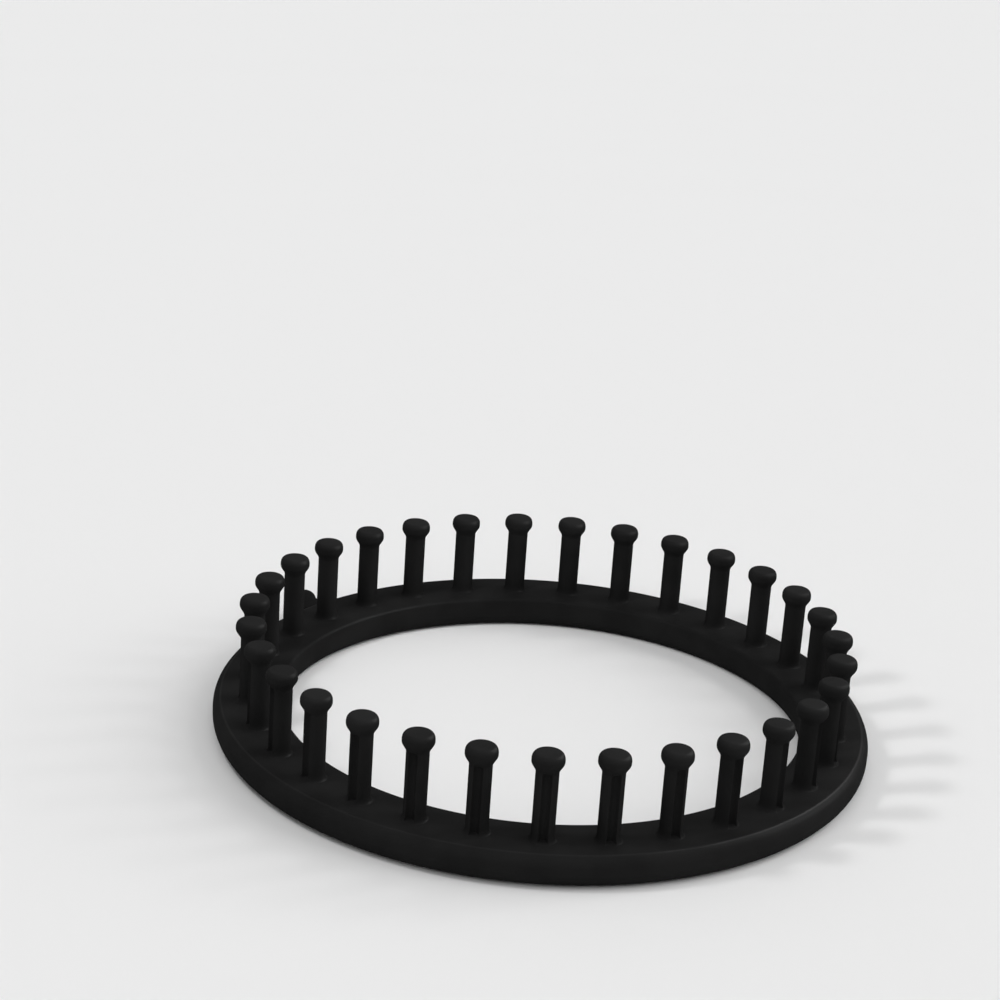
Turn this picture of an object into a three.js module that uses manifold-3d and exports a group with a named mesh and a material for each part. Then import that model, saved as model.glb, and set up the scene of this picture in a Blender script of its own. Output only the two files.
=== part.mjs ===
// A round knitting loom, in millimetres with +Z up. A moulded ring lies on its flat underside at z = 0
// and carries a circle of upright pegs, each held by a spigot in a socket of its own, and one short
// anchor peg in its outer wall. Yarn is wound round the upright pegs and lifted over their heads with
// a hook, so each of them has a groove down its outward side for the hook's tip. The yarn's tail is
// tied to the anchor peg. The ring's axis is the Z axis, and peg_01 stands on the -X side.
import * as THREE from "three";
import { mergeVertices } from "three/addons/utils/BufferGeometryUtils.js";
import Module from "manifold-3d";

// The ring's cross-section
const ringOuterDiameter = 190; // over the widest line of the rounded outer wall
const ringWidth = 19.3; // from that line to the wall of the opening
const ringHeight = 9.35; // at the crest, where the top meets the rounded outer edge in a crease
const topFall = 0.06; // how much lower the top is at the opening
const lowerOuterRound = 4.55;
const upperOuterRound = 3.35;
const crestAngle = 68; // degrees of the upper outer rounding, where 90 would have no crease
const lowerInnerRound = 3.45;
const upperInnerRound = 1;

// The circle of pegs
const pegCount = 31;
const pegSetback = 10.25; // from the ring's widest line in to the peg circle

// An upright peg, from its foot up
const pegHeight = 24.575; // from under the foot to the top of the head
const shaftDiameter = 6.2;
const footFlare = 0.8; // how far the foot spreads beyond the shaft
const footHeight = 2.2;
const headOverhang = 1.28; // how far the head stands out beyond the shaft
const headUnderside = 3.05; // height over which the head swells from the shaft to its widest line
const headRim = 0.5; // height of the upright rim above that line
const headEdgeHeight = 2; // of the rounded edge between the rim and the flat top
const headEdgeWidth = 1.2;

// The rounded groove down the outward side
const grooveWidth = 2.6; // where it opens in the shaft
const grooveDepth = 1.6;
const grooveStop = 2.1; // from its upper end, in the head's underside, up to the head's rim
const grooveStart = 0.4; // plain foot left under its lower end

// The spigot and its socket, which goes right through the ring
const spigotDiameter = 3.6;
const spigotRecess = 0.8; // how far the spigot's end stays above the underside

// The anchor peg
const anchorGap = 4; // it stands in the gap that follows this many pegs
const anchorShaftLength = 6; // bare shaft between the ring's widest line and the head
const anchorSocketDepth = 6.5;

// Clearance that a seated peg keeps to the ring, under its foot and round its spigot
const fitGap = 0.3;

// Fineness of the round surfaces
const ringSides = pegCount * 4;
const pegSides = 12;
const socketSides = 12;
const grooveSides = 16;
const headSwellSteps = 3;
const headEdgeSteps = 3;
const cutMargin = 1; // how far a cutter runs past the face that it opens

const wasm = await Module();
wasm.setup();

// Radii and heights that follow from the sizes above
const outerRadius = ringOuterDiameter / 2;
const innerRadius = outerRadius - ringWidth;
const pegCircleRadius = outerRadius - pegSetback;
const shaftRadius = shaftDiameter / 2;
const footRadius = shaftRadius + footFlare;
const headRadius = shaftRadius + headOverhang;
const spigotRadius = spigotDiameter / 2;
const headHeight = headUnderside + headRim + headEdgeHeight;

// Each rounding keeps within its share of the wall's height and of the underside's width
const lowerOuter = Math.min(lowerOuterRound, ringHeight * 0.55, ringWidth * 0.4);
const upperOuter = Math.min(upperOuterRound, ringHeight * 0.4, ringWidth * 0.4);
const lowerInner = Math.min(lowerInnerRound, ringHeight * 0.5, ringWidth * 0.3);
const upperInner = Math.min(upperInnerRound, ringHeight * 0.3, ringWidth * 0.2);
const crestTurn = THREE.MathUtils.degToRad(crestAngle);
const crestRadius = outerRadius - upperOuter * (1 - Math.cos(crestTurn));

// Points on an arc in the section plane. Angles are in degrees, anticlockwise from the outward side.
function arc(centreRadius, centreHeight, radius, from, to, steps) {
  const points = [];
  for (let i = 0; i <= steps; i += 1) {
    const angle = THREE.MathUtils.degToRad(from + ((to - from) * i) / steps);
    points.push(new THREE.Vector2(
      centreRadius + radius * Math.cos(angle),
      centreHeight + radius * Math.sin(angle),
    ));
  }
  return points;
}

// Turns a section of (radius, height) points, which run up the outside, about the Z axis
function turned(section, sides) {
  const geometry = new THREE.LatheGeometry(section, sides);
  geometry.rotateX(Math.PI / 2);
  return geometry;
}

// A solid for cutting, with shared vertices and without the flat triangles at a lathe's poles
function solidOf(geometry) {
  const bare = geometry.clone();
  bare.deleteAttribute("normal");
  bare.deleteAttribute("uv");
  const merged = mergeVertices(bare);
  const corners = merged.index.array;
  const triVerts = [];
  for (let i = 0; i < corners.length; i += 3) {
    const [a, b, c] = corners.slice(i, i + 3);
    if (a !== b && b !== c && c !== a) {
      triVerts.push(a, b, c);
    }
  }
  return new wasm.Manifold(new wasm.Mesh({
    numProp: 3,
    vertProperties: merged.attributes.position.array,
    triVerts: new Uint32Array(triVerts),
  }));
}

function geometryOf(solid) {
  const mesh = solid.getMesh();
  const geometry = new THREE.BufferGeometry();
  geometry.setAttribute("position", new THREE.BufferAttribute(mesh.vertProperties, 3));
  geometry.setIndex(new THREE.BufferAttribute(mesh.triVerts, 1));
  geometry.computeVertexNormals();
  return geometry;
}

function blackPlastic() {
  return new THREE.MeshStandardMaterial({ color: 0x1b1b1c, roughness: 0.5, metalness: 0 });
}

// Height of the ring's sloping top at a radius, which is level with the crest beyond it
function topHeight(radius) {
  const slope = topFall / (crestRadius - innerRadius);
  return ringHeight - slope * Math.max(0, crestRadius - radius);
}

const seatHeight = topHeight(pegCircleRadius + footRadius) + fitGap;
const anchorHeight = ringHeight / 2;

// The angle of a place in the circle of pegs: peg 1 is at 180 degrees, and the count runs clockwise
function pegAngle(place) {
  return Math.PI - ((place - 1) * 2 * Math.PI) / pegCount;
}

const anchorAngle = pegAngle(anchorGap + 0.5);

// The ring: its section turned once round, then a socket cut for each peg
function ringSection() {
  const upperCentre = ringHeight - upperOuter * Math.sin(crestTurn);
  const innerCentre = topHeight(innerRadius + upperInner) - upperInner;
  return [
    ...arc(innerRadius + lowerInner, lowerInner, lowerInner, 180, 270, 3),
    ...arc(outerRadius - lowerOuter, lowerOuter, lowerOuter, 270, 360, 4),
    ...arc(outerRadius - upperOuter, upperCentre, upperOuter, 0, crestAngle, 3),
    ...arc(innerRadius + upperInner, innerCentre, upperInner, 90, 180, 2),
    new THREE.Vector2(innerRadius, lowerInner),
  ];
}

function socketCutter(radius, length) {
  const cutter = new THREE.CylinderGeometry(radius, radius, length, socketSides);
  cutter.rotateX(Math.PI / 2);
  return cutter;
}

function ringGeometry() {
  let ring = solidOf(turned(ringSection(), ringSides));
  const through = ringHeight + 2 * cutMargin;
  for (let number = 1; number <= pegCount; number += 1) {
    const cutter = socketCutter(spigotRadius + fitGap, through);
    cutter.translate(pegCircleRadius, 0, ringHeight / 2);
    cutter.rotateZ(pegAngle(number));
    ring = ring.subtract(solidOf(cutter));
  }
  const anchorCut = anchorSocketDepth + cutMargin;
  const anchorCutter = socketCutter(shaftRadius + fitGap, anchorCut);
  anchorCutter.rotateY(Math.PI / 2);
  anchorCutter.translate(outerRadius - anchorSocketDepth + anchorCut / 2, 0, anchorHeight);
  anchorCutter.rotateZ(anchorAngle);
  return geometryOf(ring.subtract(solidOf(anchorCutter)));
}

// The mushroom head's section: an S-curve out from the shaft, an upright rim, a rounded edge, a flat top
function headSection(start) {
  const points = [];
  for (let i = 0; i <= headSwellSteps; i += 1) {
    const swell = (1 - Math.cos((i * Math.PI) / headSwellSteps)) / 2;
    points.push(new THREE.Vector2(
      shaftRadius + headOverhang * swell,
      start + (headUnderside * i) / headSwellSteps,
    ));
  }
  for (let i = 0; i <= headEdgeSteps; i += 1) {
    const angle = (i * Math.PI) / 2 / headEdgeSteps;
    points.push(new THREE.Vector2(
      headRadius - headEdgeWidth * (1 - Math.cos(angle)),
      start + headUnderside + headRim + headEdgeHeight * Math.sin(angle),
    ));
  }
  points.push(new THREE.Vector2(0, start + headHeight));
  return points;
}

// An upright elliptic column that is widest at the foot's edge and cuts the groove into the +X side
function grooveCutter(length) {
  const middle = Math.max(footRadius, headRadius);
  const reach = middle - (shaftRadius - grooveDepth);
  const mouth = Math.sqrt(shaftRadius ** 2 - (grooveWidth / 2) ** 2);
  const halfWidth = grooveWidth / 2 / Math.sqrt(1 - ((middle - mouth) / reach) ** 2);
  const cutter = new THREE.CylinderGeometry(1, 1, length, grooveSides);
  cutter.rotateX(Math.PI / 2);
  cutter.scale(reach, halfWidth, 1);
  cutter.translate(middle, 0, 0);
  return cutter;
}

// An upright peg about its own axis, with the underside of its foot at z = 0 and its groove on the +X side
function uprightPegGeometry() {
  const spigotEnd = spigotRecess - seatHeight;
  const shaftEnd = pegHeight - headHeight;
  const section = [
    new THREE.Vector2(0, spigotEnd),
    new THREE.Vector2(spigotRadius, spigotEnd),
    new THREE.Vector2(spigotRadius, 0),
    new THREE.Vector2(footRadius, 0),
    new THREE.Vector2(shaftRadius + footFlare / 4, footHeight / 2),
    new THREE.Vector2(shaftRadius, footHeight),
    ...headSection(shaftEnd),
  ];
  const grooveEnd = shaftEnd + headUnderside - grooveStop;
  const groove = grooveCutter(grooveEnd - grooveStart);
  groove.translate(0, 0, (grooveEnd + grooveStart) / 2);
  return geometryOf(solidOf(turned(section, pegSides)).subtract(solidOf(groove)));
}

// The anchor peg about its own axis, with z = 0 at the ring's widest line
function anchorPegGeometry() {
  const socketEnd = fitGap - anchorSocketDepth;
  return turned([
    new THREE.Vector2(0, socketEnd),
    new THREE.Vector2(shaftRadius, socketEnd),
    ...headSection(anchorShaftLength),
  ], pegSides);
}

function addPiece(parent, name, geometry) {
  const mesh = new THREE.Mesh(geometry, blackPlastic());
  mesh.name = name;
  parent.add(mesh);
  return mesh;
}

// A group turned about the ring's axis, in which +X points outwards through one place of the circle
function placeAt(loom, angle) {
  const place = new THREE.Group();
  place.rotation.z = angle;
  loom.add(place);
  return place;
}

const loom = new THREE.Group();
addPiece(loom, "base_ring", ringGeometry());

for (let number = 1; number <= pegCount; number += 1) {
  const name = `peg_${String(number).padStart(2, "0")}`;
  const peg = addPiece(placeAt(loom, pegAngle(number)), name, uprightPegGeometry());
  peg.position.set(pegCircleRadius, 0, seatHeight);
}

const anchorPeg = addPiece(placeAt(loom, anchorAngle), "anchor_peg", anchorPegGeometry());
anchorPeg.rotation.y = Math.PI / 2;
anchorPeg.position.set(outerRadius, 0, anchorHeight);

export default loom;
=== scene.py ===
# %% [markdown]
# A round knitting loom is a flat plastic ring with a circle of upright pegs. Yarn is wound round the
# pegs and lifted over their heads with a hook, and the knitted tube grows down through the ring.
# The loom was made in CAD first. It is loaded here as a frame that never moves, and each of its
# plain solids then gets a finer piece in its place, at the same size.

# %% Load the packed loom
import math
import bmesh
import bpy
from mathutils import Matrix, Vector


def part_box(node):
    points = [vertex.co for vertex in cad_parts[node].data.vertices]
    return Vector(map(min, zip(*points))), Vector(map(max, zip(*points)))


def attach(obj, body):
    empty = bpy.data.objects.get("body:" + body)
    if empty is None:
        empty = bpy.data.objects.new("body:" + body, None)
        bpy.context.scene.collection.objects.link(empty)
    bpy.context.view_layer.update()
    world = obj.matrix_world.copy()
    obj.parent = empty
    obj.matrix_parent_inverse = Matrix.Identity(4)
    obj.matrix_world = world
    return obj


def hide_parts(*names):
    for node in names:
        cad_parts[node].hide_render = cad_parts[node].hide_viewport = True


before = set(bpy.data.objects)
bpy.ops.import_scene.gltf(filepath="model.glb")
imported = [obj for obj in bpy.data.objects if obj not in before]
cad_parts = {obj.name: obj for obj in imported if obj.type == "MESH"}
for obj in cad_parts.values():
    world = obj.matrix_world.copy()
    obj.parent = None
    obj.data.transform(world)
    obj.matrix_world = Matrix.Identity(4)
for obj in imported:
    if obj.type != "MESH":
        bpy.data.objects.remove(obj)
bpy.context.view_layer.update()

mm = 0.001
peg_nodes = sorted(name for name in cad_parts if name.startswith("peg_"))
print("CAD nodes:", len(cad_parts), "of which upright pegs:", len(peg_nodes))

# %% [markdown]
# The camera comes first, because it decides how large every detail looks. The photograph's view
# could be found by eye, but the ring is a circle of known size, so the edges of that circle and the
# heads of the pegs give the camera's distance, height, tilt and lens by least squares. The numbers
# below are that result, with the lens worked out from its focal length in pixels.

# %% Camera
image_width = 1000
focal_length_px = 2368.1
camera_distance = 628.4 * mm
camera_height = 300.1 * mm
camera_bearing = math.radians(0.876)
camera_pan = math.radians(2.331)
camera_tilt = math.radians(20.092)
camera_roll = math.radians(3.889)

camera_data = bpy.data.cameras.new("photo_camera")
camera_data.sensor_width = 36
camera_data.lens = focal_length_px / image_width * camera_data.sensor_width
camera_data.clip_start = 0.01
camera_data.clip_end = 60
camera = bpy.data.objects.new("photo_camera", camera_data)
turn = Matrix.Rotation(camera_pan, 4, "Z")
turn = turn @ Matrix.Rotation(math.pi / 2 - camera_tilt, 4, "X")
turn = turn @ Matrix.Rotation(camera_roll, 4, "Z")
place = Vector((
    camera_distance * math.sin(camera_bearing),
    -camera_distance * math.cos(camera_bearing),
    camera_height,
))
camera.matrix_world = Matrix.Translation(place) @ turn
scene = bpy.context.scene
scene.collection.objects.link(camera)
scene.camera = camera
scene.view_settings.view_transform = "Standard"
print("lens in mm:", round(camera_data.lens, 2))

# %% [markdown]
# Materials and shapes below are both written as node trees. Wiring nodes one by one hides the idea,
# so a small class wraps a socket and lets Python's own operators add the Math nodes: an expression
# such as 1 - mask reads as it would on paper. Its one method adds any other node. The node's
# settings are set first, because they decide which sockets it has.

# %% Sockets that can be calculated with
class Field:
    """A socket of a node tree that Python's operators work on."""

    def __init__(self, tree, socket=None):
        self.tree = tree
        self.socket = socket

    def node(self, kind, settings=None, inputs=None, output=0):
        """Adds a node of any kind and returns one of its outputs."""
        node = self.tree.nodes.new(kind)
        for name, value in (settings or {}).items():
            setattr(node, name, value)
        for key, value in (inputs or {}).items():
            if isinstance(value, Field):
                self.tree.links.new(value.socket, node.inputs[key])
            else:
                node.inputs[key].default_value = value
        return None if output is None else Field(self.tree, node.outputs[output])

    def math(self, operation, first, second=0.0):
        """Adds a Math node, which most of Python's operators below are made of."""
        return self.node("ShaderNodeMath", {"operation": operation}, {0: first, 1: second})

    def __add__(self, other):
        return self.math("ADD", self, other)

    def __radd__(self, other):
        return self.math("ADD", other, self)

    def __sub__(self, other):
        return self.math("SUBTRACT", self, other)

    def __rsub__(self, other):
        return self.math("SUBTRACT", other, self)

    def __mul__(self, other):
        return self.math("MULTIPLY", self, other)

    def __rmul__(self, other):
        return self.math("MULTIPLY", other, self)

    def __truediv__(self, other):
        return self.math("DIVIDE", self, other)

    def __rtruediv__(self, other):
        return self.math("DIVIDE", other, self)

    def __pow__(self, other):
        return self.math("POWER", self, other)

    def __abs__(self):
        return self.math("ABSOLUTE", self)


def sine(angle):
    return angle.math("SINE", angle)


def cosine(angle):
    return angle.math("COSINE", angle)


def mixed_colour(factor, first, second):
    """A colour between two others. The Mix node keeps its colour sockets in places 6 and 7."""
    inputs = {0: factor, 6: first, 7: second}
    return factor.node("ShaderNodeMix", {"data_type": "RGBA"}, inputs, output=2)


def rise(value, low, high):
    """0 below low, 1 above high, and a smooth slope between them."""
    settings = {"interpolation_type": "SMOOTHSTEP"}
    inputs = {"Value": value, "From Min": low, "From Max": high}
    return value.node("ShaderNodeMapRange", settings, inputs, output="Result")


def axes(value):
    """The three numbers of a vector."""
    first = value.node("ShaderNodeSeparateXYZ", {}, {0: value}, output="X")
    split = first.socket.node
    return first, Field(value.tree, split.outputs["Y"]), Field(value.tree, split.outputs["Z"])


def vector(x, y, z):
    """One vector from three numbers, of which at least the first is a field."""
    return x.node("ShaderNodeCombineXYZ", {}, {"X": x, "Y": y, "Z": z})


print("operators:", sorted(name for name in vars(Field) if name.startswith("__")))

# %% [markdown]
# The loom is photographed on a pale floor that runs on into the background without an edge. A large
# plain disc does the same. It lies a hair under the loom, so that their faces never share a plane.
# Its paint comes after the lamps, because it depends on them.

# %% Floor
floor_radius = 9.0
floor_drop = 0.02 * mm

floor_mesh = bpy.data.meshes.new("pale_floor")
shape = bmesh.new()
bmesh.ops.create_circle(shape, cap_ends=True, segments=96, radius=floor_radius)
bmesh.ops.translate(shape, vec=(0, 0, -floor_drop), verts=shape.verts)
shape.to_mesh(floor_mesh)
shape.free()
floor = bpy.data.objects.new("pale_floor", floor_mesh)
scene.collection.objects.link(floor)
print("floor radius in m:", floor_radius)

# %% [markdown]
# The light is a studio's: two small lamps close by, three wide soft panels, and a pale surround.
# The small lamps were placed from their shadows in the photograph. The pegs' shadows fan out like
# fingers, so each lamp must stand near, and where the fingers point and end gives its direction and
# distance. The panels' shadows have melted away, so each can be a sun, which lights everything
# alike. The shares of all of them add up to one on a level surface in the middle, so a colour
# shows about as it is written. One more lamp stands close on the right and is hidden from diffuse
# rays. It lights nothing, and only its reflection shows, as the soft sheen on that side of the ring.

# %% Light
left_share = 0.158
right_share = 0.03
right_panel_share = 0.26
front_panel_share = 0.22
back_panel_share = 0.035
panel_share = right_panel_share + front_panel_share + back_panel_share
surround_share = 1 - left_share - right_share - panel_share
sheen_strength = 4.0


def near_lamp(name, share, heading, elevation, distance, angle):
    """A round lamp near the loom that gives a level surface in the middle its share of light.
    Its light travels along a heading and doesn't fade."""
    data = bpy.data.lights.new(name, "POINT")
    data.energy = share * 4 * math.pi ** 2 / math.sin(math.radians(elevation))
    data.shadow_soft_size = distance * math.tan(math.radians(angle / 2))
    data.use_nodes = True
    falloff = Field(data.node_tree).node("ShaderNodeLightFalloff", {}, {}, "Constant")
    falloff.socket.node.inputs["Strength"].default_value = 1.0
    data.node_tree.links.new(falloff.socket, data.node_tree.nodes["Emission"].inputs["Strength"])
    lamp = bpy.data.objects.new(name, data)
    level = distance * math.cos(math.radians(elevation))
    away = math.radians(heading + 180)
    lamp.location = (
        level * math.cos(away),
        level * math.sin(away),
        distance * math.sin(math.radians(elevation)),
    )
    lamp.visible_camera = False
    scene.collection.objects.link(lamp)
    return lamp


def wide_panel(name, share, heading, elevation, angle):
    """A sun that gives a level surface its share of light and travels along a heading."""
    data = bpy.data.lights.new(name, "SUN")
    data.energy = share * math.pi / math.sin(math.radians(elevation))
    data.angle = math.radians(angle)
    sun = bpy.data.objects.new(name, data)
    steep = Matrix.Rotation(math.radians(90 - elevation), 4, "Y")
    sun.matrix_world = Matrix.Rotation(math.radians(heading + 180), 4, "Z") @ steep
    scene.collection.objects.link(sun)
    return sun


left_lamp = near_lamp(
    "left_lamp", left_share, heading=29, elevation=54.3, distance=369 * mm, angle=7.8
)
right_lamp = near_lamp(
    "right_lamp", right_share, heading=-160.8, elevation=37.5, distance=431 * mm, angle=6.7
)
sheen_lamp = near_lamp(
    "sheen_lamp", sheen_strength, heading=-165, elevation=38, distance=300 * mm, angle=50
)
sheen_lamp.visible_diffuse = False
wide_panel("right_panel", right_panel_share, heading=-168.6, elevation=33, angle=50)
wide_panel("front_panel", front_panel_share, heading=90, elevation=60, angle=60)
wide_panel("back_panel", back_panel_share, heading=-90, elevation=30, angle=40)
print("shares:", left_share, right_share, panel_share, round(surround_share, 3))

# %% [markdown]
# The surround is one even pale tone, so its strength is simply the share of light that it gives.
# The camera and reflections see the tone of the photograph's background there instead, through
# Light Path.

# %% Surround
backdrop_tone = 0.83

surround = bpy.data.worlds.new("surround")
scene.world = surround
surround.use_nodes = True
surround.node_tree.nodes.clear()
sky = Field(surround.node_tree)
seen = sky.node("ShaderNodeLightPath", output="Is Camera Ray")
path_outputs = seen.socket.node.outputs
for kind in ("Is Glossy Ray", "Is Transmission Ray"):
    seen = seen.math("MAXIMUM", seen, Field(sky.tree, path_outputs[kind]))
lit = sky.node("ShaderNodeBackground", {}, {"Color": (1, 1, 1, 1), "Strength": surround_share})
backdrop_colour = (backdrop_tone, backdrop_tone, backdrop_tone, 1)
backdrop = sky.node("ShaderNodeBackground", {}, {"Color": backdrop_colour, "Strength": 1.0})
mixed = sky.node("ShaderNodeMixShader", {}, {0: seen, 1: lit, 2: backdrop})
sky.node("ShaderNodeOutputWorld", {}, {"Surface": mixed}, output=None)
print("nodes in the surround:", len(surround.node_tree.nodes))

# %% [markdown]
# A near lamp lights the floor at a slant that changes from place to place, but the photograph's floor
# has one tone wherever no shadow falls. So the floor's paint is made a little paler where the lamps
# reach it less: the backdrop's tone is divided by the light that arrives, which follows from each
# lamp's distance.

# %% Floor paint
floor_paint = bpy.data.materials.new("pale_floor")
floor_paint.use_nodes = True
floor_shader = floor_paint.node_tree.nodes["Principled BSDF"]
x, y, z = axes(Field(floor_paint.node_tree).node("ShaderNodeTexCoord", output="Object"))
arriving = panel_share + surround_share
for lamp, share in ((left_lamp, left_share), (right_lamp, right_share)):
    across, along, up = lamp.location
    distance = ((x - across) ** 2 + (y - along) ** 2 + up ** 2) ** 0.5
    arriving = arriving + share * lamp.location.length / distance
tone = backdrop_tone / arriving
floor_paint.node_tree.links.new(vector(tone, tone, tone).socket, floor_shader.inputs["Base Color"])
floor_shader.inputs["Roughness"].default_value = 0.9
floor_shader.inputs["Specular IOR Level"].default_value = 0.0
floor_mesh.materials.append(floor_paint)
print("nodes in the floor's paint:", len(floor_paint.node_tree.nodes))

# %% [markdown]
# The real loom is moulded in a black plastic with a satin skin. One flat black would look like a hole
# in the picture, so the finish gets what such a skin has: a fine grain that catches light, patches
# that are a little paler than others, and a paler, smoother skin where yarn, hook and fingers rub.
# On the crest and the head tops that paler colour is also painted highlight. All of it reads Object
# coordinates, which are metres on the real loom, so a grain of 0.4 mm is written as that. The
# plastic itself reflects next to nothing, since the photographed loom stays dark at its edges. A
# very thin coat gives it the satin skin, and is thicker where it is worn smooth.

# %% Black plastic
dull_black = (0.0127, 0.0127, 0.0127, 1)
# The paler black shows wear and patches, and on the crest and head tops also painted highlight
worn_and_highlit_black = (0.0196, 0.0196, 0.0196, 1)
thin_coat = 0.008
patch_size = 14 * mm


def black_plastic(name, roughness, grain_size, wear_and_highlight, shine):
    """A satin black plastic. Its mask argument takes the three coordinates and returns where the
    plastic is worn paler, which on the crest and the head tops is also painted highlight, and shine
    is how much coat that place gains."""
    material = bpy.data.materials.new(name)
    material.use_nodes = True
    shader = material.node_tree.nodes["Principled BSDF"]
    shader.inputs["Specular IOR Level"].default_value = 0.0005
    shader.inputs["Coat Roughness"].default_value = 0.35
    sheet = Field(material.node_tree)
    place = sheet.node("ShaderNodeTexCoord", output="Object")
    grain = sheet.node(
        "ShaderNodeTexNoise", {}, {"Vector": place, "Scale": 1 / grain_size, "Detail": 3.0}, "Fac"
    )
    patches = sheet.node(
        "ShaderNodeTexNoise", {}, {"Vector": place, "Scale": 1 / patch_size, "Detail": 2.0}, "Fac"
    )
    worn_and_highlit = wear_and_highlight(*axes(place))
    # Patches and the paler worn places, partly painted highlight, change the tone by as much as each
    # other, and grain by a little
    amount = rise(patches, 0.3, 0.7) * 0.5 + worn_and_highlit * 0.5 + (grain - 0.5) * 0.3
    colour = mixed_colour(amount, dull_black, worn_and_highlit_black)
    coat = worn_and_highlit * shine + thin_coat
    # Grain and patches vary the roughness as well, and rubbing lowers it
    dullness = roughness + (grain - 0.5) * 0.12 + (patches - 0.5) * 0.1 - worn_and_highlit * 0.08
    bump = sheet.node(
        "ShaderNodeBump", {}, {"Strength": 0.35, "Distance": 0.02 * mm, "Height": grain}, "Normal"
    )
    finish = {"Base Color": colour, "Roughness": dullness, "Coat Weight": coat, "Normal": bump}
    for socket, value in finish.items():
        material.node_tree.links.new(value.socket, shader.inputs[socket])
    print(name, "with", len(material.node_tree.nodes), "nodes")
    return material


print("the two blacks that it mixes:", dull_black[0], worn_and_highlit_black[0])

# %% [markdown]
# On the ring the yarn rubs over the crest, the line where the top meets the rounded outer edge.
# A mask from the distance to the ring's axis finds it. The paler colour there is wear and also
# painted highlight, the thin line of light along the crest. On the pegs it is the head that rubs,
# so their mask is just height above the table, and the paler tops it gives are wear and also
# painted light, as tops lit from above. The anchor peg's head lies farthest from the axis.

# %% Finishes of the ring and the pegs
crest_line = 92.9 * mm
head_zone = (32.4 * mm, 33.8 * mm)
anchor_tip_zone = (104 * mm, 106 * mm)


# The paler crest is wear and also a painted highlight: the line of light along it
def crest_of_ring(x, y, z):
    distance = (x * x + y * y) ** 0.5
    inside = rise(distance, crest_line - 0.4 * mm, crest_line - 0.1 * mm)
    outside = rise(distance, crest_line + 0.1 * mm, crest_line + 0.5 * mm)
    return inside * (1 - outside)


# The paler head tops are wear and also painted light: tops lit from above
def head_of_peg(x, y, z):
    return rise(z, *head_zone)


def tip_of_anchor(x, y, z):
    distance = (x * x + y * y) ** 0.5
    return rise(distance, *anchor_tip_zone)


ring_plastic = black_plastic(
    "ring_plastic", roughness=0.56, grain_size=0.4 * mm, wear_and_highlight=crest_of_ring, shine=0.016
)
peg_plastic = black_plastic(
    "peg_plastic", roughness=0.54, grain_size=0.3 * mm, wear_and_highlight=head_of_peg, shine=0.002
)
anchor_plastic = black_plastic(
    "anchor_plastic", roughness=0.54, grain_size=0.3 * mm, wear_and_highlight=tip_of_anchor, shine=0.002
)

# %% [markdown]
# Ring and pegs are both turned shapes: one outline swept once round an axis. A Screw modifier or
# bpy's spin could do it, but a peg also has a groove, and the ring has sockets, so the sweep is
# a Geometry Nodes group that both build on. A flat grid has one row for each point of the outline
# and one column for each step of the turn. Every grid point looks up its outline point and is moved
# to that radius and height. Columns can bunch up towards the +X side, where the groove needs them.

# %% A node group that turns an outline
weld_distance = 0.002 * mm


def new_tree(title, inputs):
    """An empty Geometry Nodes tree with its named inputs and one geometry output."""
    tree = bpy.data.node_groups.new(title, "GeometryNodeTree")
    for name, kind, value in inputs:
        socket = tree.interface.new_socket(name, in_out="INPUT", socket_type="NodeSocket" + kind)
        if value is not None:
            socket.default_value = value
    tree.interface.new_socket("Geometry", in_out="OUTPUT", socket_type="NodeSocketGeometry")
    source = tree.nodes.new("NodeGroupInput")
    given = {name: Field(tree, source.outputs[name]) for name, kind, value in inputs}
    return tree, given


def end_tree(tree, geometry):
    """Joins the geometry to the tree's output."""
    output = tree.nodes.new("NodeGroupOutput")
    tree.links.new(geometry.socket, output.inputs["Geometry"])


def turned_outline_tree():
    tree, given = new_tree("turned outline", [
        ("Outline", "Geometry", None),
        ("Turn Steps", "Int", 96),
        ("Bunching", "Float", 1.0),
    ])
    outline, steps = given["Outline"], given["Turn Steps"]
    count = outline.node(
        "GeometryNodeAttributeDomainSize", {}, {"Geometry": outline}, "Point Count"
    )
    grid = outline.node(
        "GeometryNodeMeshGrid", {}, {"Vertices X": steps + 1, "Vertices Y": count}, "Mesh"
    )
    index = outline.node("GeometryNodeInputIndex")
    column = index.math("FLOOR", (index + 0.5) / count)
    row = index - column * count
    point = outline.node("GeometryNodeInputPosition")
    settings = {"data_type": "FLOAT_VECTOR"}
    inputs = {"Geometry": outline, "Value": point, "Index": row}
    radius, _, height = axes(outline.node("GeometryNodeSampleIndex", settings, inputs, "Value"))
    share = column / steps * 2 - 1
    angle = share.math("SIGN", share) * abs(share) ** given["Bunching"] * math.pi
    spot = vector(radius * cosine(angle), radius * sine(angle), height)
    inputs = {"Geometry": grid, "Position": spot}
    moved = outline.node("GeometryNodeSetPosition", {}, inputs)
    closed = outline.node(
        "GeometryNodeMergeByDistance", {}, {"Geometry": moved, "Distance": weld_distance}
    )
    end_tree(tree, closed)
    return tree


turned_outline = turned_outline_tree()
print("nodes in the turning group:", len(turned_outline.nodes))

# %% [markdown]
# A tree becomes a piece in three moves. A seed object holds the outline as a row of loose points and
# gets the tree as a modifier, with its inputs set by identifier. The evaluated result is then copied
# into a plain mesh, and the seed is deleted. Corners sharper than an angle stay crisp. The volume
# and the open edges are measured too: a positive volume means that the faces point outwards.

# %% From an outline to a finished piece
crisp_angle = 32


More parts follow.
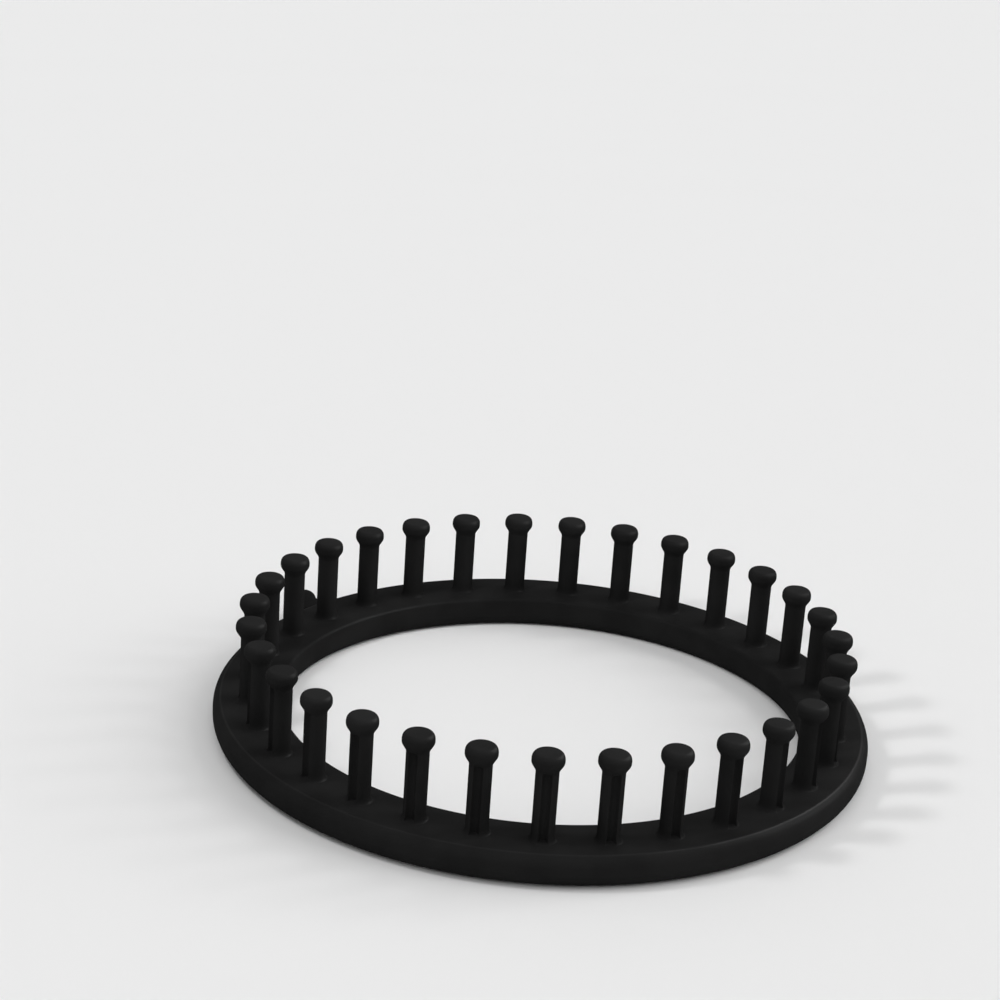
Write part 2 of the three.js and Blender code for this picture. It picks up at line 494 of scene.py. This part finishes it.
def grown_mesh(name, outline, tree, values):
    """Runs a tree on an outline of (radius, height) points and returns a plain mesh."""
    seed_mesh = bpy.data.meshes.new(name + "_seed")
    seed_mesh.from_pydata([(radius, 0, height) for radius, height in outline], [], [])
    seed = bpy.data.objects.new(name + "_seed", seed_mesh)
    scene.collection.objects.link(seed)
    modifier = seed.modifiers.new("Shape", "NODES")
    modifier.node_group = tree
    for item in tree.interface.items_tree:
        if item.in_out == "INPUT" and item.name in values:
            modifier[item.identifier] = values[item.name]
    graph = bpy.context.evaluated_depsgraph_get()
    mesh = bpy.data.meshes.new_from_object(seed.evaluated_get(graph))
    mesh.name = name
    bpy.data.objects.remove(seed)
    bpy.data.meshes.remove(seed_mesh)
    mesh.shade_smooth()
    mesh.set_sharp_from_angle(angle=math.radians(crisp_angle))
    return mesh


def measured(mesh):
    """Volume in cubic millimetres, open edges and triangles of a mesh."""
    shape = bmesh.new()
    shape.from_mesh(mesh)
    volume = shape.calc_volume(signed=True) / mm ** 3
    loose = sum(1 for edge in shape.edges if not edge.is_manifold)
    triangles = sum(len(face.verts) - 2 for face in shape.faces)
    shape.free()
    return round(volume, 1), loose, triangles


def place_piece(mesh, node):
    """Shows a mesh instead of a CAD node."""
    piece = bpy.data.objects.new("moulded_" + node, mesh)
    scene.collection.objects.link(piece)
    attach(piece, "root")
    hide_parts(node)
    return piece


print("corners stay crisp above this many degrees:", crisp_angle)

# %% [markdown]
# Outlines are drawn in Python, as short runs of arcs and lines in millimetres. Nothing on a moulding
# is truly sharp, so a corner can be softened: it is cut off a little way along both of its sides,
# and a curve is put in its place. Such a small edge is what catches a thin line of light.

# %% Drawing outlines
def arc(centre, radii, start, end, steps):
    """Points on an arc or ellipse, with angles in degrees from the outward side."""
    points = []
    for i in range(steps + 1):
        angle = math.radians(start + (end - start) * i / steps)
        points.append(Vector((
            centre[0] + radii[0] * math.cos(angle),
            centre[1] + radii[1] * math.sin(angle),
        )))
    return points


def softened(points, corner, reach, steps=4):
    """The outline with one corner, given by its place in the list, changed to a small curve."""
    before, at, after = points[corner - 1], points[corner], points[corner + 1]
    first = at + (before - at).normalized() * reach
    last = at + (after - at).normalized() * reach
    curve = []
    for i in range(steps + 1):
        share = i / steps
        inner = first.lerp(at, share)
        outer = at.lerp(last, share)
        curve.append(inner.lerp(outer, share))
    return points[:corner] + curve + points[corner + 1:]


def in_metres(points):
    return [(point.x * mm, point.y * mm) for point in points]


square_corner = [Vector((0, 0)), Vector((1, 0)), Vector((1, 1))]
print("points of a corner before and after it is softened:", len(square_corner), end=" ")
print(len(softened(square_corner, corner=1, reach=0.3)))

# %% [markdown]
# The ring's outline goes round its cross-section. The photograph shows a well rounded lower outer
# edge, a crest where the rounded upper edge meets the top in a soft crease, a top that is almost
# level, and an upright inner wall with a small rounding at its upper edge. The overall sizes are
# read from the CAD ring's box.

# %% Ring outline
ring_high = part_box("base_ring")[1]
ring_outer = ring_high.x / mm
ring_height = ring_high.z / mm
ring_width = 19.3
ring_inner = ring_outer - ring_width
top_fall = 0.06
lower_outer_round = 4.55
upper_outer_round = 3.35
lower_inner_round = 3.45
upper_inner_round = 1.0
crest_angle = 68
crest_softening = 0.3
crest_radius = ring_outer - upper_outer_round * (1 - math.cos(math.radians(crest_angle)))
top_slope = top_fall / (crest_radius - ring_inner)


def ring_top(radius):
    """Height of the ring's top at a distance from the axis, in millimetres."""
    return ring_height - top_slope * (crest_radius - radius)


def ring_outline():
    crest_height = ring_height - upper_outer_round * math.sin(math.radians(crest_angle))
    points = arc(
        (ring_inner + lower_inner_round, lower_inner_round),
        (lower_inner_round, lower_inner_round), 180, 270, steps=9,
    )
    points += arc(
        (ring_outer - lower_outer_round, lower_outer_round),
        (lower_outer_round, lower_outer_round), 270, 360, steps=14,
    )
    points += arc(
        (ring_outer - upper_outer_round, crest_height),
        (upper_outer_round, upper_outer_round), 0, crest_angle, steps=9,
    )
    crest = len(points) - 1
    inner_centre = ring_inner + upper_inner_round
    points += arc(
        (inner_centre, ring_top(inner_centre) - upper_inner_round),
        (upper_inner_round, upper_inner_round), 90, 180, steps=8,
    )
    points.append(points[0].copy())
    return softened(points, crest, crest_softening)


print("points in the ring's outline:", len(ring_outline()))
print("ring width and height in mm:", ring_width, round(ring_height, 2))

# %% [markdown]
# The sockets repeat evenly, so one cutter is instanced on a circle of points and subtracted from
# the turned ring. Its lower end flares, which leaves a small chamfer round each hole in the
# underside. A second cutter, lying on its side, makes the anchor peg's socket in the outer wall.
# Pegs are a press fit, so a socket is only 0.02 mm wider than what it holds.

# %% The ring's tree
cutter_length = 40 * mm
socket_sides = 32
anchor_socket_sides = 48


def ring_tree():
    tree, given = new_tree("loom ring", [
        ("Outline", "Geometry", None),
        ("Turn Steps", "Int", 372),
        ("Socket Count", "Int", 31),
        ("Socket Circle", "Float", 0.085),
        ("Socket Radius", "Float", 0.002),
        ("Socket Flare", "Float", 0.0003),
        ("Anchor Angle", "Float", 0.0),
        ("Anchor Radius", "Float", 0.003),
        ("Anchor Depth", "Float", 0.0065),
        ("Anchor Height", "Float", 0.005),
        ("Outer Radius", "Float", 0.095),
        ("Finish", "Material", None),
    ])
    outline = given["Outline"]
    inputs = {"Outline": outline, "Turn Steps": given["Turn Steps"]}
    blank = outline.node("GeometryNodeGroup", {"node_tree": turned_outline}, inputs)
    radius, flare = given["Socket Radius"], given["Socket Flare"]
    inputs = {"Vertices": socket_sides, "Side Segments": 2}
    inputs |= {"Radius": radius, "Depth": cutter_length}
    cutter = outline.node("GeometryNodeMeshCylinder", {}, inputs, "Mesh")
    x, y, z = axes(outline.node("GeometryNodeInputPosition"))
    bottom = z.math("LESS_THAN", z, -cutter_length / 4)
    middle = 1 - z.math("GREATER_THAN", abs(z), cutter_length / 4)
    wider = 1 + bottom * (flare * 2 / radius)
    height = z * (1 - bottom) + flare * middle - flare * bottom
    inputs = {"Geometry": cutter, "Position": vector(x * wider, y * wider, height)}
    cutter = outline.node("GeometryNodeSetPosition", {}, inputs)
    inputs = {"Vertices": given["Socket Count"], "Radius": given["Socket Circle"]}
    circle = outline.node("GeometryNodeMeshCircle", {}, inputs)
    half_turn = outline.node("FunctionNodeEulerToRotation", {}, {"Euler": (0, 0, math.pi)})
    circle = outline.node("GeometryNodeTransform", {}, {"Geometry": circle, "Rotation": half_turn})
    cutters = outline.node("GeometryNodeInstanceOnPoints", {}, {"Points": circle, "Instance": cutter})
    cutters = outline.node("GeometryNodeRealizeInstances", {}, {"Geometry": cutters})
    drilled = outline.node(
        "GeometryNodeMeshBoolean", {"operation": "DIFFERENCE", "solver": "EXACT"},
        {"Mesh 1": blank, "Mesh 2": cutters}, "Mesh",
    )
    depth = given["Anchor Depth"]
    inputs = {"Vertices": anchor_socket_sides, "Radius": given["Anchor Radius"], "Depth": depth * 2}
    side_cutter = outline.node("GeometryNodeMeshCylinder", {}, inputs, "Mesh")
    angle = given["Anchor Angle"]
    reach = given["Outer Radius"]
    spot = vector(reach * cosine(angle), reach * sine(angle), given["Anchor Height"])
    lying = angle.node("ShaderNodeCombineXYZ", {}, {"X": 0, "Y": math.pi / 2, "Z": angle})
    lying = outline.node("FunctionNodeEulerToRotation", {}, {"Euler": lying})
    inputs = {"Geometry": side_cutter, "Translation": spot, "Rotation": lying}
    side_cutter = outline.node("GeometryNodeTransform", {}, inputs)
    drilled = outline.node(
        "GeometryNodeMeshBoolean", {"operation": "DIFFERENCE", "solver": "EXACT"},
        {"Mesh 1": drilled, "Mesh 2": side_cutter}, "Mesh",
    )
    real = outline.node("GeometryNodeRealizeInstances", {}, {"Geometry": drilled})
    inputs = {"Geometry": real, "Material": given["Finish"]}
    end_tree(tree, outline.node("GeometryNodeSetMaterial", {}, inputs))
    return tree


loom_ring = ring_tree()
print("nodes in the ring's tree:", len(loom_ring.nodes))

# %% Make the ring
peg_low, peg_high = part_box("peg_01")
peg_circle = math.hypot((peg_low.x + peg_high.x) / 2, (peg_low.y + peg_high.y) / 2) / mm
spigot_radius = 1.8
shaft_radius = 3.1
press_gap = 0.02
socket_flare = 0.3
anchor_socket_depth = 6.5
ring_turn_steps = 12 * len(peg_nodes)


def bearing_of(node):
    """The angle at which a CAD peg stands on the ring."""
    low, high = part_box(node)
    return math.atan2((low.y + high.y) / 2, (low.x + high.x) / 2)


anchor_angle = (bearing_of("peg_04") + bearing_of("peg_05")) / 2
anchor_height = ring_height / 2
ring_mesh = grown_mesh("base_ring", in_metres(ring_outline()), loom_ring, {
    "Turn Steps": ring_turn_steps,
    "Socket Count": len(peg_nodes),
    "Socket Circle": peg_circle * mm,
    "Socket Radius": (spigot_radius + press_gap) * mm,
    "Socket Flare": socket_flare * mm,
    "Anchor Angle": anchor_angle,
    "Anchor Radius": (shaft_radius + press_gap) * mm,
    "Anchor Depth": anchor_socket_depth * mm,
    "Anchor Height": anchor_height * mm,
    "Outer Radius": ring_outer * mm,
    "Finish": ring_plastic,
})
place_piece(ring_mesh, "base_ring")
print("ring: volume, open edges, triangles:", measured(ring_mesh))

# %% [markdown]
# A peg's outline runs up from its spigot: a foot that sweeps out in a hollow curve where it meets the
# ring, a straight shaft, and a mushroom head. The head's underside swells in an S-curve to an upright
# rim, and its top is nearly flat, with a well rounded edge. The anchor peg has the same head on a
# plain shaft. One function draws the head for both. Plain stretches get a few points more than they
# need, because the groove is pressed into them later.

# %% Peg outlines
head_radius = (peg_high.x - peg_low.x) / 2 / mm
foot_sink = 0.02
seat_height = ring_top(peg_circle) - foot_sink
peg_height = peg_high.z / mm - seat_height
foot_radius = 3.9
foot_height = 2.2
foot_rim = 0.06
spigot_recess = 0.8
end_chamfer = 0.4
swell_height = 3.05
rim_height = 0.5
edge_height = 2.0
edge_width = 1.2
dome_height = 0.1
groove_width = 2.6
groove_depth = 1.6
groove_end = 1.5
groove_rise = 1.2
anchor_shaft_length = 6.0
anchor_end_gap = 0.3
head_start = peg_height - swell_height - rim_height - edge_height
spigot_end = spigot_recess - seat_height


def head_outline(start):
    """A mushroom head on a shaft, from the height at which it starts to swell."""
    points = []
    overhang = head_radius - shaft_radius
    swell_steps = 12
    for i in range(swell_steps + 1):
        share = i / swell_steps
        swell = (1 - math.cos(math.pi * share)) / 2
        points.append(Vector((shaft_radius + overhang * swell, start + swell_height * share)))
    edge_start = start + swell_height + rim_height
    flat_radius = head_radius - edge_width
    edge_top = edge_height - dome_height
    points += arc((flat_radius, edge_start), (edge_width, edge_top), 0, 90, steps=10)
    for share in (0.8, 0.55, 0.25, 0):
        dome = dome_height * (1 - share ** 2)
        points.append(Vector((flat_radius * share, edge_start + edge_top + dome)))
    return points


def upright_peg_outline():
    points = [Vector((0, spigot_end)), Vector((spigot_radius - end_chamfer, spigot_end))]
    points += [Vector((spigot_radius, spigot_end + end_chamfer)), Vector((spigot_radius, 0))]
    points.append(Vector((foot_radius, 0)))
    sweep = (foot_radius - shaft_radius, foot_height - foot_rim)
    points += arc((foot_radius, foot_height), sweep, 270, 180, steps=9)
    points += [Vector((shaft_radius, foot_height * 1.8)), Vector((shaft_radius, 9))]
    for below in (0.8, 0.6, 0.4, 0.2):
        points.append(Vector((shaft_radius, head_start - below)))
    return points + head_outline(head_start)


def anchor_peg_outline():
    low = anchor_end_gap - anchor_socket_depth
    points = [Vector((0, low)), Vector((shaft_radius - end_chamfer, low))]
    points.append(Vector((shaft_radius, low + end_chamfer)))
    for height in (-3, 0, 3):
        points.append(Vector((shaft_radius, height)))
    return points + head_outline(anchor_shaft_length)


print("points in the outlines:", len(upright_peg_outline()), len(anchor_peg_outline()))
print("peg above the ring in mm:", round(peg_height, 2), "head radius:", round(head_radius, 2))

# %% [markdown]
# One tree makes all the pegs. It turns the outline, presses a groove into the +X side and puts
# the peg at its place on the ring. Cutting the groove with a boolean would leave razor edges, so
# the surface is pressed in instead: a point that lies outside the groove's rounded floor moves back
# to it, and a Smooth Minimum rounds the two edges. The groove fades out on the foot and in the
# underside of the head. The foot's own underside is sloped a little, so that it lies flat on the
# sloping top.

# %% The pegs' tree
groove_foot = 0.5 * mm


def peg_tree():
    tree, given = new_tree("loom peg", [
        ("Outline", "Geometry", None),
        ("Turn Steps", "Int", 96),
        ("Groove Middle", "Float", 0.0044),
        ("Groove Reach", "Float", 0.0029),
        ("Groove Half Width", "Float", 0.0015),
        ("Groove Edge", "Float", 0.0003),
        ("Groove Top", "Float", 0.018),
        ("Groove End", "Float", 0.0015),
        ("Foot Height", "Float", 0.0024),
        ("Foot Slope", "Float", 0.0),
        ("Distance", "Float", 0.085),
        ("Height", "Float", 0.01),
        ("Bearing", "Float", 0.0),
        ("Lean", "Float", 0.0),
        ("Finish", "Material", None),
    ])
    outline = given["Outline"]
    inputs = {"Outline": outline, "Turn Steps": given["Turn Steps"], "Bunching": 1.5}
    blank = outline.node("GeometryNodeGroup", {"node_tree": turned_outline}, inputs)
    x, y, z = axes(outline.node("GeometryNodeInputPosition"))
    top = given["Groove Top"]
    bow = x.math("MAXIMUM", 1 - (y / given["Groove Half Width"]) ** 2, 0.0) ** 0.5
    floor_line = given["Groove Middle"] - given["Groove Reach"] * bow
    inputs = {0: x, 1: floor_line, 2: given["Groove Edge"]}
    scooped = x.node("ShaderNodeMath", {"operation": "SMOOTH_MIN"}, inputs)
    outward = x.math("GREATER_THAN", x, 0.0)
    open_part = outward * (1 - rise(z, top - given["Groove End"], top))
    open_part = open_part * rise(z, 0, groove_foot)
    lift = given["Foot Slope"] * x * (1 - rise(z, 0, given["Foot Height"]))
    pressed = vector(x + (scooped - x) * open_part, y, z + lift)
    inputs = {"Geometry": blank, "Position": pressed}
    pressed = outline.node("GeometryNodeSetPosition", {}, inputs)
    bearing, distance = given["Bearing"], given["Distance"]
    spot = vector(distance * cosine(bearing), distance * sine(bearing), given["Height"])
    turn = bearing.node("ShaderNodeCombineXYZ", {}, {"X": 0, "Y": given["Lean"], "Z": bearing})
    turn = outline.node("FunctionNodeEulerToRotation", {}, {"Euler": turn})
    inputs = {"Geometry": pressed, "Translation": spot, "Rotation": turn}
    placed = outline.node("GeometryNodeTransform", {}, inputs)
    real = outline.node("GeometryNodeRealizeInstances", {}, {"Geometry": placed})
    inputs = {"Geometry": real, "Material": given["Finish"]}
    end_tree(tree, outline.node("GeometryNodeSetMaterial", {}, inputs))
    return tree


loom_peg = peg_tree()
print("nodes in the pegs' tree:", len(loom_peg.nodes))

# %% Make the upright pegs
peg_turn_steps = 96
groove_edge = 0.3
groove_reach = head_radius - shaft_radius + groove_depth
groove_mouth = math.sqrt(shaft_radius ** 2 - (groove_width / 2) ** 2)
mouth_share = math.sqrt(1 - ((head_radius - groove_mouth) / groove_reach) ** 2)
for node in peg_nodes:
    peg_mesh = grown_mesh(node, in_metres(upright_peg_outline()), loom_peg, {
        "Turn Steps": peg_turn_steps,
        "Groove Middle": head_radius * mm,
        "Groove Reach": groove_reach * mm,
        "Groove Half Width": groove_width / 2 / mouth_share * mm,
        "Groove Edge": groove_edge * mm,
        "Groove Top": (head_start + groove_rise) * mm,
        "Groove End": groove_end * mm,
        "Foot Height": foot_height * mm,
        "Foot Slope": top_slope,
        "Distance": peg_circle * mm,
        "Height": seat_height * mm,
        "Bearing": bearing_of(node),
        "Lean": 0.0,
        "Finish": peg_plastic,
    })
    place_piece(peg_mesh, node)
print("one peg: volume, open edges, triangles:", measured(peg_mesh))

# %% [markdown]
# The anchor peg comes out of the same tree. It leans over by a right angle, so it points straight
# outwards. Its groove is given no reach and a middle outside the head, so nothing is pressed in.

# %% Make the anchor peg
anchor_mesh = grown_mesh("anchor_peg", in_metres(anchor_peg_outline()), loom_peg, {
    "Turn Steps": peg_turn_steps,
    "Groove Middle": 2 * head_radius * mm,
    "Groove Reach": 0.0,
    "Foot Slope": 0.0,
    "Distance": ring_outer * mm,
    "Height": anchor_height * mm,
    "Bearing": anchor_angle,
    "Lean": math.pi / 2,
    "Finish": anchor_plastic,
})
place_piece(anchor_mesh, "anchor_peg")
print("anchor peg: volume, open edges, triangles:", measured(anchor_mesh))

# %% [markdown]
# Finer pieces must not change the loom's size.
